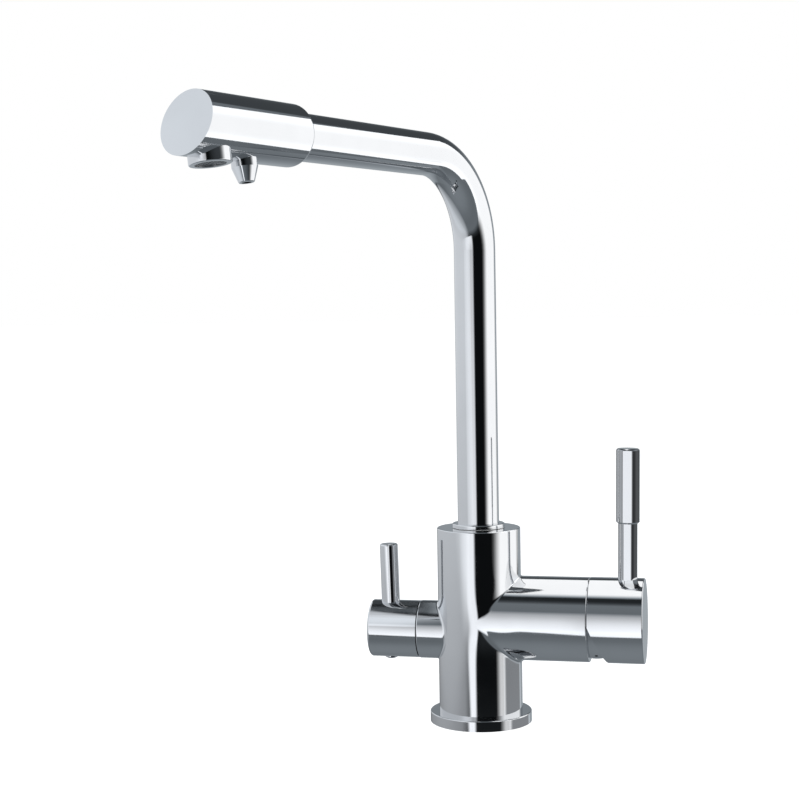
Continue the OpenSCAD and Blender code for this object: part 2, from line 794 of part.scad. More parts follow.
// Post that carries filtered water across the head chamber to the nozzle
module head_connector() {
    top = 5;
    color("goldenrod") head_frame() difference() {
        below_arm(nozzle_at, post_end) cylinder(r = post_r, h = post_end + top);
        below_arm(nozzle_at, post_end + e) cylinder(r = nozzle_bore, h = post_end + 1);
        along_arm(nozzle_at - post_r - 1) cylinder(r = inner_r, h = post_r);
        along_arm(nozzle_at - post_r) cylinder(r = inner_in, h = post_r + 1);
    }
}

module filter_nozzle() {
    bevel = 0.35;
    straight = nozzle_drop - 6.7;
    color("silver") head_frame() below_arm(nozzle_at, nozzle_drop) difference() {
        union() {
            cylinder(r1 = nozzle_tip_r - bevel, r2 = nozzle_tip_r, h = bevel);
            translate([0, 0, bevel])
                cylinder(r1 = nozzle_tip_r, r2 = nozzle_r, h = nozzle_drop - straight - bevel);
            translate([0, 0, nozzle_drop - straight]) cylinder(r = nozzle_r, h = straight - nozzle_seat);
            translate([0, 0, nozzle_drop - nozzle_seat - e])
                cylinder(r = post_r, h = nozzle_seat - post_end + e);
        }
        translate([0, 0, -e]) cylinder(r = nozzle_bore, h = nozzle_drop);
    }
}

module aerator_collar() {
    lip = 0.8;
    color("silver") head_frame() below_arm(aerator_at, aerator_drop) difference() {
        union() {
            turned(aerator_r, aerator_drop - spot_h, rim, 0);
            cylinder(r = thread_r, h = aerator_drop - washer_h - washer_t);
        }
        translate([0, 0, -e]) cylinder(r = insert_r - 0.4, h = aerator_drop);
        translate([0, 0, lip]) cylinder(r = insert_r, h = aerator_drop);
    }
}

module aerator_insert() {
    hole_r = 0.55;
    pitch = 2.1;
    depth = aerator_drop - washer_h - washer_t - 0.8;
    color("darkgray") head_frame() below_arm(aerator_at, aerator_drop - 0.8) difference() {
        cylinder(r = insert_r, h = depth);
        translate([0, 0, 2]) cylinder(r = insert_r - 1, h = depth);
        for (row = [-3 : 3]) for (col = [-3 : 3]) {
            x = (col + abs(row) % 2 / 2) * pitch;
            y = row * pitch * sqrt(3) / 2;
            if (norm([x, y]) < insert_r - 1.4) translate([x, y, -e])
                cylinder(r = hole_r, h = 3, $fn = 16);
        }
    }
}

module aerator_washer() {
    color("dimgray") head_frame() below_arm(aerator_at, washer_h + washer_t)
        ring(thread_r, waterway_r, washer_t);
}

mixer_body();
base_ring();
base_seal();
slip_ring();
spout_retaining_screw();
cartridge_base();
cartridge_seals();
cartridge_housing();
fixed_disc();
cartridge_nut();
dome_cover();
filter_valve_body();
filter_body_seal();
filter_inlet_seal();
filter_fixed_disc();
cartridge_carrier();
pivot_pin();
moving_disc();
disc_driver();
cartridge_spindle();
lever_hub();
lever_hub_screw();
lever_rod();
lever_grip();
filter_moving_disc();
filter_spindle();
filter_spindle_seals();
filter_circlip();
filter_hub();
filter_hub_screw();
filter_lever();
spout_tube();
spout_collar();
spout_ferrule();
spout_seals();
inner_tube();
inner_tube_plug();
inner_tube_seal();
spout_head();
head_connector();
filter_nozzle();
aerator_collar();
aerator_insert();
aerator_washer();
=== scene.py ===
"""Looks of a deck-mounted three-way kitchen mixer tap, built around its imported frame.

The body casting, the grip, the filter lever, the base ring and the spout's collar are
modelled here with fine rims and blends. Every other piece keeps its solid and gets the
finish of its material. Metres, Z up, unless a comment says mm.
"""

import json
import math

import bpy
from mathutils import Matrix, Vector

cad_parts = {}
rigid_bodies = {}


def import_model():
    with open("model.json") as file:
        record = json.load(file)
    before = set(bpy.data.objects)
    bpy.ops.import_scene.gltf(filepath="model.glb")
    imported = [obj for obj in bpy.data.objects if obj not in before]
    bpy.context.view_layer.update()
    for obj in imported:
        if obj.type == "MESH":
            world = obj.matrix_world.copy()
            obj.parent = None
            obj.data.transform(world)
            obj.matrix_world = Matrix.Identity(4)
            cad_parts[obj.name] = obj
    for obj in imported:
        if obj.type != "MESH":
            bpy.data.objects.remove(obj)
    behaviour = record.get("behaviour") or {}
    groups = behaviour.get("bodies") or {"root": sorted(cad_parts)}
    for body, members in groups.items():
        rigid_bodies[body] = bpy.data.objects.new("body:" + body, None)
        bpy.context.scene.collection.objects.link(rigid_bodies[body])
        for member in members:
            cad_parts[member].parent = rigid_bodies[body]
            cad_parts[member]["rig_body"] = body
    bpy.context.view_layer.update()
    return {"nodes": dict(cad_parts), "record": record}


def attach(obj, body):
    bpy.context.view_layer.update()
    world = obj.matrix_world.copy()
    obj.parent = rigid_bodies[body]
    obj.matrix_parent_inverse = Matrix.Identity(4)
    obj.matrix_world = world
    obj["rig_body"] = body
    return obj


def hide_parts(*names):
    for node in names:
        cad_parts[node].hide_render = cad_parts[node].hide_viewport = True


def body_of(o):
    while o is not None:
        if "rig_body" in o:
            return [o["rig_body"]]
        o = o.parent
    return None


bl_info = {
    "name": "Three-way Mixer Tap",
    "version": (1, 0, 0),
    "blender": (4, 5, 0),
    "location": "View3D > Sidebar > Mixer Tap",
    "description": "Chromed pieces, finishes and studio of a three-way kitchen mixer tap",
    "category": "Object",
}

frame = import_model()
NODES = frame["nodes"]
SLOT_OF = {part["node"]: part["material_slot"] for part in frame["record"]["subparts"]}

MM = 0.001
SMOOTH_BELOW = math.radians(32)

# The body casting in mm: barrel about Z, branch to +X and stub to -X
BARREL_R, BARREL_TOP, STEP_R, STEP_Z = 22.2, 102.8, 20.7, 2.5
BRANCH_R, BRANCH_Z, BRANCH_END = 22.1, 55.0, 58.9
STUB_R, STUB_Z, STUB_END, STUB_REACH = 15.3, 47.6, 32.0, 0.8
RIM, RIM_GUARD = 0.5, 0.06

# Its bores, each as radii and places along its axis from the mouth inwards
SPOUT_BORE = [
    (13.7, BARREL_TOP), (13.7, 102.0), (11.6, 102.0), (11.6, 80.0), (7.0, 80.0), (7.0, 66.0),
    (4.2, 66.0), (4.2, 51.1)]
CARTRIDGE_BORE = [(18.2, BRANCH_END), (18.2, 52.4), (17.5, 52.4), (17.5, 35.0)]
FILTER_BORE = [(9.5, STUB_END), (9.5, 19.0)]

# Its drilled holes in mm: centre, radius and length of each cutter
STUD_AT, STUD_R, STUD_DEPTH = [(-6.0, -13.0, 7.0), (-6.0, 13.0, 7.0)], 3.4, 14.04
HOSES_AT, HOSE_R, HOSE_DEPTH = [(8, 7.5, 6.0), (8, -7.5, 6.0), (-11.3, 0, 6.0)], 4.5, 12.04
SCREW_AT, SCREW_R, SCREW_DEPTH = (0, 17.4, 90.0), 2.5, 11.0

# The blend of barrel and branch in mm: reach of the fillet in front, on top and the more
# below, and how far the barrel swells and the branch stands proud. A span holds the X
# between which a value changes, and the front span how far to -Y the swelling grows.
FRONT_REACH, TOP_REACH, BELOW_REACH, REACH_SPAN = 7.0, 0.8, 2.2, (5.0, 16.0)
SWELL, SWELL_HEIGHT, SWELL_SPAN = 0.5, 10.5, (-3.5, 6.0)
PROUD, PROUD_SPAN = 0.32, (4.0, 24.0)
FRONT_SPAN = (2.0, 18.0)

# The levers' feet on their hubs, their lean to the right, and radii and heights in mm
LEVER_FOOT, LEVER_LEAN = (0.0787, 0.0, 0.076), math.radians(0.9)
FILTER_FOOT, FILTER_LEAN = (-0.0486, 0.0, 0.0614), math.radians(-1.4)
GRIP_R, GRIP_FOOT, GRIP_TOP, GRIP_MOUTH_R = 6.2, 30.0, 69.2, 5.2
GRIP_BORE_R, GRIP_BORE_TOP = 3.07, 41.0
FILTER_LEVER_R, FILTER_LEVER_TOP, TENON_R, TENON_END = 4.9, 31.8, 2.9, -9.6

# Base ring and collar in mm
RING_R, RING_TOP, SEAL_IN, SEAL_OUT, SEAL_H = 27.0, 5.5, 22.3, 25.0, 1.6
COLLAR_R, COLLAR_FOOT, COLLAR_TOP, PIPE_R = 14.0, 103.1, 105.2, 11.0

# Tints of the soft boxes
NEUTRAL, COOL, COOLER = (1.0, 1.0, 1.0), (0.98, 1.0, 1.035), (0.965, 1.0, 1.045)


class TapFinish(bpy.types.PropertyGroup):
    """Colours and gloss of the materials"""

    chrome: bpy.props.FloatVectorProperty(
        name="Chrome", description="Colour of the polished chrome", subtype="COLOR",
        size=3, min=0.0, max=1.0, default=(0.69, 0.7, 0.715))
    chrome_roughness: bpy.props.FloatProperty(
        name="Chrome roughness", description="Mean roughness of the polished chrome",
        subtype="FACTOR", min=0.0, max=1.0, default=0.06)
    steel: bpy.props.FloatVectorProperty(
        name="Steel", description="Colour of the plain steel", subtype="COLOR",
        size=3, min=0.0, max=1.0, default=(0.56, 0.56, 0.57))
    brass: bpy.props.FloatVectorProperty(
        name="Brass", description="Colour of the machined brass", subtype="COLOR",
        size=3, min=0.0, max=1.0, default=(0.72, 0.55, 0.27))
    ceramic: bpy.props.FloatVectorProperty(
        name="Ceramic", description="Colour of the lapped ceramic discs", subtype="COLOR",
        size=3, min=0.0, max=1.0, default=(0.86, 0.85, 0.8))
    white_plastic: bpy.props.FloatVectorProperty(
        name="White plastic", description="Colour of the moulded white plastic",
        subtype="COLOR", size=3, min=0.0, max=1.0, default=(0.8, 0.8, 0.78))
    grey_plastic: bpy.props.FloatVectorProperty(
        name="Grey plastic", description="Colour of the moulded aerator plastic",
        subtype="COLOR", size=3, min=0.0, max=1.0, default=(0.2, 0.21, 0.22))
    rubber: bpy.props.FloatVectorProperty(
        name="Rubber", description="Colour of the seals", subtype="COLOR",
        size=3, min=0.0, max=1.0, default=(0.03, 0.03, 0.032))


class TapShape(bpy.types.PropertyGroup):
    """Roundings of the turned pieces"""

    grip_crown: bpy.props.FloatProperty(
        name="Grip crown", description="Rounding of the grip's top rim", unit="LENGTH",
        min=0.0002, max=0.004, default=0.0013)
    grip_taper: bpy.props.FloatProperty(
        name="Grip taper", description="Height of the cone under the grip", unit="LENGTH",
        min=0.0002, max=0.003, default=0.0009)
    filter_crown: bpy.props.FloatProperty(
        name="Filter lever crown", description="Rounding of the filter lever's top rim",
        unit="LENGTH", min=0.0002, max=0.003, default=0.001)
    collar_rim: bpy.props.FloatProperty(
        name="Collar rim", description="Rounding of the spout collar's top rim",
        unit="LENGTH", min=0.0001, max=0.001, default=0.0006)
    ring_rim: bpy.props.FloatProperty(
        name="Base ring rim", description="Rounding of the base ring's top rim",
        unit="LENGTH", min=0.0001, max=0.002, default=0.0005)


class TapStudio(bpy.types.PropertyGroup):
    """Floor, lights and camera"""

    floor_tone: bpy.props.FloatProperty(
        name="Floor tone", description="Own brightness of the pale floor",
        subtype="FACTOR", min=0.0, max=1.0, default=0.95)
    floor_size: bpy.props.FloatProperty(
        name="Floor size", description="Width of the floor", unit="LENGTH",
        min=1.0, max=100.0, default=60.0)
    camera_place: bpy.props.FloatVectorProperty(
        name="Camera place", description="Where the camera stands", subtype="XYZ",
        size=3, unit="LENGTH", default=(0.148404, -0.850581, 0.219287))
    camera_yaw: bpy.props.FloatProperty(
        name="Camera yaw", description="Turn of the view to the left of +Y",
        subtype="ANGLE", default=0.22088)
    camera_pitch: bpy.props.FloatProperty(
        name="Camera pitch", description="Tilt of the view above the horizon",
        subtype="ANGLE", default=-0.0101)
    camera_roll: bpy.props.FloatProperty(
        name="Camera roll", description="Turn of the picture about the line of sight",
        subtype="ANGLE", default=-0.015)
    camera_lens: bpy.props.FloatProperty(
        name="Lens", description="Focal length on a 36 mm sensor", min=20.0, max=200.0,
        default=72.909)
    camera_shift: bpy.props.FloatVectorProperty(
        name="Shift", description="Lens shift in picture widths", size=2,
        default=(0.00228, -0.0916))


def new_material(name):
    """A new material, its shader and its node tree."""
    material = bpy.data.materials.new(name)
    material.use_nodes = True
    tree = material.node_tree
    shader = tree.nodes["Principled BSDF"]
    return material, tree, shader


def join(tree, source, output, target, socket):
    """Links one node's output to another node's input."""
    tree.links.new(source.outputs[output], target.inputs[socket])


def object_noise(tree, scale, detail=3.0, stretch=(1.0, 1.0, 1.0)):
    """Noise that reads the piece's own coordinates, with its scale along each axis."""
    place = tree.nodes.new("ShaderNodeTexCoord")
    mapping = tree.nodes.new("ShaderNodeMapping")
    mapping.inputs["Scale"].default_value = stretch
    noise = tree.nodes.new("ShaderNodeTexNoise")
    noise.inputs["Scale"].default_value = scale
    noise.inputs["Detail"].default_value = detail
    join(tree, place, "Object", mapping, "Vector")
    join(tree, mapping, "Vector", noise, "Vector")
    return noise


def tint(tree, shader, noise, dark, light):
    """Base colour that wanders between two tones."""
    ramp = tree.nodes.new("ShaderNodeValToRGB")
    ramp.color_ramp.elements[0].position = 0.35
    ramp.color_ramp.elements[1].position = 0.65
    ramp.color_ramp.elements[0].color = (*dark, 1.0)
    ramp.color_ramp.elements[1].color = (*light, 1.0)
    join(tree, noise, "Fac", ramp, "Fac")
    join(tree, ramp, "Color", shader, "Base Color")


def gloss(tree, shader, noise, low, high):
    """Roughness that wanders between two values."""
    band = tree.nodes.new("ShaderNodeMapRange")
    band.inputs["From Min"].default_value = 0.3
    band.inputs["From Max"].default_value = 0.7
    band.inputs["To Min"].default_value = low
    band.inputs["To Max"].default_value = high
    join(tree, noise, "Fac", band, "Value")
    join(tree, band, "Result", shader, "Roughness")


def relief(tree, shader, noise, strength, height):
    """Fine surface relief of a given height."""
    bump = tree.nodes.new("ShaderNodeBump")
    bump.inputs["Strength"].default_value = strength
    bump.inputs["Distance"].default_value = height
    join(tree, noise, "Fac", bump, "Height")
    join(tree, bump, "Normal", shader, "Normal")


def shade(colour, factor):
    """The colour made lighter or darker."""
    return tuple(min(1.0, c * factor) for c in colour)


def polished_chrome(finish):
    """Decorative chrome: a mirror with the faint waviness of hand polishing."""
    material, tree, shader = new_material("polished_chrome")
    shader.inputs["Metallic"].default_value = 1.0
    colour = tuple(finish.chrome)
    tint(tree, shader, object_noise(tree, 45.0, 2.0), shade(colour, 0.985), shade(colour, 1.015))
    mean = finish.chrome_roughness
    gloss(tree, shader, object_noise(tree, 160.0, 4.0), mean * 0.7, mean * 1.3)
    relief(tree, shader, object_noise(tree, 70.0, 1.0), 0.12, 0.00004)
    return material


def plain_steel(finish):
    """Turned steel with fine tool marks."""
    material, tree, shader = new_material("plain_steel")
    shader.inputs["Metallic"].default_value = 1.0
    colour = tuple(finish.steel)
    tint(tree, shader, object_noise(tree, 300.0), shade(colour, 0.92), shade(colour, 1.06))
    gloss(tree, shader, object_noise(tree, 700.0, 2.0, (1.0, 1.0, 8.0)), 0.24, 0.38)
    relief(tree, shader, object_noise(tree, 900.0, 2.0, (1.0, 1.0, 10.0)), 0.25, 0.00002)
    return material


def machined_brass(finish):
    """Machined brass, slightly dulled."""
    material, tree, shader = new_material("machined_brass")
    shader.inputs["Metallic"].default_value = 1.0
    colour = tuple(finish.brass)
    tint(tree, shader, object_noise(tree, 220.0, 4.0), shade(colour, 0.88), shade(colour, 1.08))
    gloss(tree, shader, object_noise(tree, 500.0, 3.0), 0.22, 0.36)
    relief(tree, shader, object_noise(tree, 800.0, 2.0, (8.0, 1.0, 1.0)), 0.25, 0.00002)
    return material


def lapped_ceramic(finish):
    """Alumina with a lapped, silky face."""
    material, tree, shader = new_material("lapped_ceramic")
    colour = tuple(finish.ceramic)
    tint(tree, shader, object_noise(tree, 900.0, 5.0), shade(colour, 0.95), shade(colour, 1.03))
    gloss(tree, shader, object_noise(tree, 600.0), 0.16, 0.28)
    return material


def moulded_plastic(name, colour):
    """Injection moulded plastic with a light grain."""
    material, tree, shader = new_material(name)
    tint(tree, shader, object_noise(tree, 180.0, 3.0), shade(colour, 0.94), shade(colour, 1.04))
    gloss(tree, shader, object_noise(tree, 400.0, 3.0), 0.38, 0.52)
    relief(tree, shader, object_noise(tree, 1500.0, 2.0), 0.2, 0.00002)
    return material


def seal_rubber(finish):
    """Black seal rubber with a matt, slightly mottled skin."""
    material, tree, shader = new_material("seal_rubber")
    colour = tuple(finish.rubber)
    tint(tree, shader, object_noise(tree, 500.0, 4.0), shade(colour, 0.8), shade(colour, 1.5))
    gloss(tree, shader, object_noise(tree, 700.0, 3.0), 0.6, 0.82)
    relief(tree, shader, object_noise(tree, 1800.0, 2.0), 0.3, 0.00003)
    return material


def finish_of(slot):
    """The material of one of the record's slots, made once."""
    known = {
        "chrome": "polished_chrome", "steel": "plain_steel", "brass": "machined_brass",
        "ceramic": "lapped_ceramic", "white_plastic": "white_moulded_plastic",
        "grey_plastic": "grey_moulded_plastic", "rubber": "seal_rubber"}[slot]
    found = bpy.data.materials.get(known)
    if found:
        return found
    finish = bpy.context.scene.tap_finish
    makers = {
        "chrome": lambda: polished_chrome(finish),
        "steel": lambda: plain_steel(finish),
        "brass": lambda: machined_brass(finish),
        "ceramic": lambda: lapped_ceramic(finish),
        "white_plastic": lambda: moulded_plastic(known, tuple(finish.white_plastic)),
        "grey_plastic": lambda: moulded_plastic(known, tuple(finish.grey_plastic)),
        "rubber": lambda: seal_rubber(finish)}
    return makers[slot]()


def dress(thing, slot):
    """Gives a piece or a solid the finish of a slot."""
    thing.data.materials.clear()
    thing.data.materials.append(finish_of(slot))


def sum_of(tree, operation, *values):
    """A chain of one math operation over sockets and numbers."""
    total = values[0]
    for value in values[1:]:
        node = tree.nodes.new("ShaderNodeMath")
        node.operation = operation
        for socket, part in zip(node.inputs, (total, value)):
            if isinstance(part, (int, float)):
                socket.default_value = part
            else:
                tree.links.new(part, socket)
        total = node.outputs[0]
    return total


def soft_step(tree, value, low, high):
    """0 below low, 1 above high and smooth between; it falls where low is above high."""
    band = tree.nodes.new("ShaderNodeMapRange")
    band.interpolation_type = "SMOOTHSTEP"
    band.inputs["From Min"].default_value = low
    band.inputs["From Max"].default_value = high
    tree.links.new(value, band.inputs["Value"])
    return band.outputs["Result"]


def tone_ramp(tree, value, stops, scale=1.0):
    """Values at given places of a socket, straight between them."""
    low, high = stops[0][0], stops[-1][0]
    band = tree.nodes.new("ShaderNodeMapRange")
    band.inputs["From Min"].default_value = low
    band.inputs["From Max"].default_value = high
    tree.links.new(value, band.inputs["Value"])
    ramp = tree.nodes.new("ShaderNodeValToRGB")
    elements = ramp.color_ramp.elements
    while len(elements) < len(stops):
        elements.new(0.5)
    for element, (place, level) in zip(elements, stops):
        element.position = (place - low) / (high - low)
    for element, (place, level) in zip(elements, stops):
        element.color = (level * scale, level * scale, level * scale, 1.0)
    join(tree, band, "Result", ramp, "Fac")
    return ramp.outputs["Color"]


def by_height(stops):
    """Stops given as degrees above the horizon and the tone that chrome shows there."""
    return [(math.sin(math.radians(rise)), shown(tone)) for rise, tone in stops]


def studio_world():
    """What the chrome sees behind the soft boxes: a grey table, a room that is dark at
    eye level, a narrow white ceiling and a grey wall at the back."""
    world = bpy.data.worlds.new("studio_room")
    world.use_nodes = True
    tree = world.node_tree
    tree.nodes.clear()
    place = tree.nodes.new("ShaderNodeTexCoord")
    parts = tree.nodes.new("ShaderNodeSeparateXYZ")
    join(tree, place, "Generated", parts, "Vector")
    x, y, z = (parts.outputs[axis] for axis in "XYZ")

    room = tone_ramp(tree, z, by_height([
        (-90, 120), (-66, 116), (-50, 104), (-38, 98), (-25, 100), (-18, 40), (-13, 13),
        (15, 12), (19, 60), (24, 102), (47, 106), (54, 60), (59, 36), (68, 34), (74, 66),
        (90, 90)]))
    ceiling = sum_of(
        tree, "MULTIPLY", shown(247), soft_step(tree, x, -0.21, -0.16),
        soft_step(tree, x, 0.02, -0.03), soft_step(tree, y, -0.4, -0.12),
        soft_step(tree, z, 0.56, 0.63))
    rear = tone_ramp(tree, z, by_height([
        (-90, 120), (-50, 112), (-38, 108), (-33, 122), (-28, 132), (-18, 146), (0, 145),
        (14, 120), (21, 74), (30, 62), (70, 58), (90, 90)]))
    at_rear = sum_of(
        tree, "MULTIPLY", soft_step(tree, y, 0.0, 0.1),
        soft_step(tree, sum_of(tree, "DIVIDE", x, sum_of(tree, "MAXIMUM", y, 0.001)), 0.72, 0.64),
        soft_step(tree, sum_of(tree, "DIVIDE", x, sum_of(tree, "MAXIMUM", y, 0.001)), -0.5, -0.4))
    elsewhere = sum_of(tree, "SUBTRACT", 1.0, at_rear)
    room = sum_of(
        tree, "ADD", sum_of(tree, "MULTIPLY", room, elsewhere),
        sum_of(tree, "MULTIPLY", rear, at_rear))
    lit = sum_of(tree, "MAXIMUM", room, ceiling)

    around = tree.nodes.new("ShaderNodeBackground")
    colour = tree.nodes.new("ShaderNodeMix")
    colour.data_type = "RGBA"
    colour.blend_type = "MULTIPLY"
    colour.inputs["Factor"].default_value = 1.0
    cool = tone_ramp(tree, lit, [(0.0, 0.0), (0.3, 0.2), (1.2, 1.0)])
    shift = tree.nodes.new("ShaderNodeMix")
    shift.data_type = "RGBA"
    shift.inputs["A"].default_value = (0.88, 1.0, 1.1, 1.0)
    shift.inputs["B"].default_value = (1.0, 1.0, 1.0, 1.0)
    tree.links.new(cool, shift.inputs["Factor"])
    tree.links.new(lit, colour.inputs["A"])
    tree.links.new(shift.outputs["Result"], colour.inputs["B"])
    tree.links.new(colour.outputs["Result"], around.inputs["Color"])
    behind = tree.nodes.new("ShaderNodeBackground")
    behind.inputs["Color"].default_value = (1.0, 1.0, 1.0, 1.0)
    rays = tree.nodes.new("ShaderNodeLightPath")
    mix = tree.nodes.new("ShaderNodeMixShader")
    join(tree, rays, "Is Camera Ray", mix, "Fac")
    tree.links.new(around.outputs[0], mix.inputs[1])
    tree.links.new(behind.outputs[0], mix.inputs[2])
    out = tree.nodes.new("ShaderNodeOutputWorld")
    tree.links.new(mix.outputs[0], out.inputs["Surface"])
    bpy.context.scene.world = world


def shown(tone):
    """Radiance of a light that chrome shows with this 8-bit tone."""
    value = tone / 255.0
    linear = ((value + 0.055) / 1.055) ** 2.4 if value > 0.04045 else value / 12.92
    return linear / 0.7


def soft_box(
        name, corner, across, up, columns, rows, colour=NEUTRAL, lean=0.0, sill=None):
    """A flat light from one corner and its two edges, facing the tap.

    Columns hold (share of the width, share of the light), rows hold (share of the
    height, tone that chrome shows). Lean moves the columns along with height, and sill
    holds the height below which the box is dark, at shares of the width.
    """
    across, up = Vector(across), Vector(up)
    centre = Vector(corner) + across / 2 + up / 2
    normal = across.cross(up).normalized()
    if normal.dot(Vector((0.0, 0.0, 0.15)) - centre) < 0:
        normal = -normal
    x = across.normalized()
    z = -normal
    y = z.cross(x)
    bpy.ops.object.light_add(type="AREA", location=centre)
    light = bpy.context.object
    light.name = name
    light.matrix_world = Matrix.Translation(centre) @ Matrix((x, y, z)).transposed().to_4x4()
    light.data.shape = "RECTANGLE"
    light.data.size = across.length
    light.data.size_y = up.length
    light.data.energy = math.pi * across.length * up.length
    light.data.color = colour
    light.data.use_nodes = True
    tree = light.data.node_tree
    lamp = next(node for node in tree.nodes if node.type == "EMISSION")
    sheet = tree.nodes.new("ShaderNodeNewGeometry")
    parts = tree.nodes.new("ShaderNodeSeparateXYZ")
    join(tree, sheet, "Parametric", parts, "Vector")
    level = parts.outputs["Y"]
    if y.dot(up) < 0:
        level = sum_of(tree, "SUBTRACT", 1.0, level)
    place = parts.outputs["X"]
    if lean:
        place = sum_of(tree, "SUBTRACT", place, sum_of(tree, "MULTIPLY", level, lean))
    sideways = tone_ramp(tree, place, columns)
    upwards = tone_ramp(tree, level, [(share, shown(tone)) for share, tone in rows])
    if sill:
        edge = tone_ramp(tree, parts.outputs["X"], sill)
        upwards = sum_of(tree, "MULTIPLY", upwards, soft_step(
            tree, sum_of(tree, "SUBTRACT", level, edge), -0.03, 0.03))
    tree.links.new(sum_of(tree, "MULTIPLY", sideways, upwards), lamp.inputs["Strength"])
    light.visible_camera = False
    return light


def wall_box(name, azimuth, distance, columns, rows, colour=NEUTRAL, lean=0.0, sill=None):
    """A vertical soft box that faces the tap's axis.

    Columns hold (azimuth in degrees, share of the light), rows hold (height in metres,
    tone that chrome shows). Sill holds (azimuth, height below which the box is dark).
    """
    a = math.radians(azimuth)
    out = Vector((math.sin(a), -math.cos(a), 0.0))
    side = Vector((math.cos(a), math.sin(a), 0.0))
    places = [distance * math.tan(math.radians(turn - azimuth)) for turn, share in columns]
    width = places[-1] - places[0]
    low, high = rows[0][0], rows[-1][0]
    corner = out * distance + side * places[0] + Vector((0.0, 0.0, low))
    if sill:
        sill = [
            ((distance * math.tan(math.radians(turn - azimuth)) - places[0]) / width,
             (level - low) / (high - low)) for turn, level in sill]
    return soft_box(
        name, corner, side * width, (0, 0, high - low),
        [((place - places[0]) / width, share) for place, (turn, share) in zip(places, columns)],
        [((level - low) / (high - low), tone) for level, tone in rows], colour, lean, sill)


def only_on(light, things, state="INCLUDE"):
    """Lets a light fall on some things only, or on all but them."""
    group = bpy.data.collections.new(light.name + "_group")
    for thing in things:
        group.objects.link(thing)
    light.light_linking.receiver_collection = group
    for entry in group.collection_objects:
        entry.light_linking.link_state = state


def pale_floor(studio):
    """A plain pale floor that runs into the white backdrop."""
    bpy.ops.mesh.primitive_plane_add(size=studio.floor_size, location=(0, 0, 0))
    floor = bpy.context.object
    floor.name = "studio_floor"
    material, _, shader = new_material("pale_floor")
    shader.inputs["Base Color"].default_value = (0.5, 0.5, 0.5, 1.0)
    shader.inputs["Roughness"].default_value = 0.9
    shader.inputs["Emission Color"].default_value = (1.0, 1.0, 1.0, 1.0)
    shader.inputs["Emission Strength"].default_value = studio.floor_tone
    floor.data.materials.append(material)
    floor.visible_glossy = False
    floor.visible_shadow = False
    floor.visible_diffuse = False


def place_camera(studio):
    """The camera where the photographer stood."""
    yaw, pitch, roll = studio.camera_yaw, studio.camera_pitch, studio.camera_roll
    forward = Vector((
        -math.sin(yaw) * math.cos(pitch), math.cos(yaw) * math.cos(pitch), math.sin(pitch)))
    level = Vector((math.cos(yaw), math.sin(yaw), 0.0))
    upright = level.cross(forward)
    right = math.cos(roll) * level + math.sin(roll) * upright
    up = -math.sin(roll) * level + math.cos(roll) * upright
    bpy.ops.object.camera_add(location=studio.camera_place)
    camera = bpy.context.object
    camera.name = "camera"
    turn = Matrix((right, up, -forward)).transposed().to_4x4()
    camera.matrix_world = Matrix.Translation(Vector(studio.camera_place)) @ turn
    camera.data.sensor_width = 36.0
    camera.data.lens = studio.camera_lens
    camera.data.shift_x, camera.data.shift_y = studio.camera_shift
    camera.data.clip_start = 0.01
    camera.data.clip_end = 200.0
    bpy.context.scene.camera = camera


def shown_on(body, *names):
    """The meshes that ride on a body and show, or those of them with the given names."""
    return [o for o in bpy.data.objects
            if o.type == "MESH" and body_of(o) == [body] and not o.hide_render
            and (not names or o.name in names)]


def front_glow(name, right_end, rows, lean=0.0, sill=None):
    """The large soft box behind the camera, with its own right end."""
    fade = [(-60, 0.0), (-46, 0.1), (-34, 0.35), (-26, 0.6), (-20, 0.85), (-15, 1.0)]
    return wall_box(name, -8, 4.0, fade + right_end, rows, COOL, lean, sill)


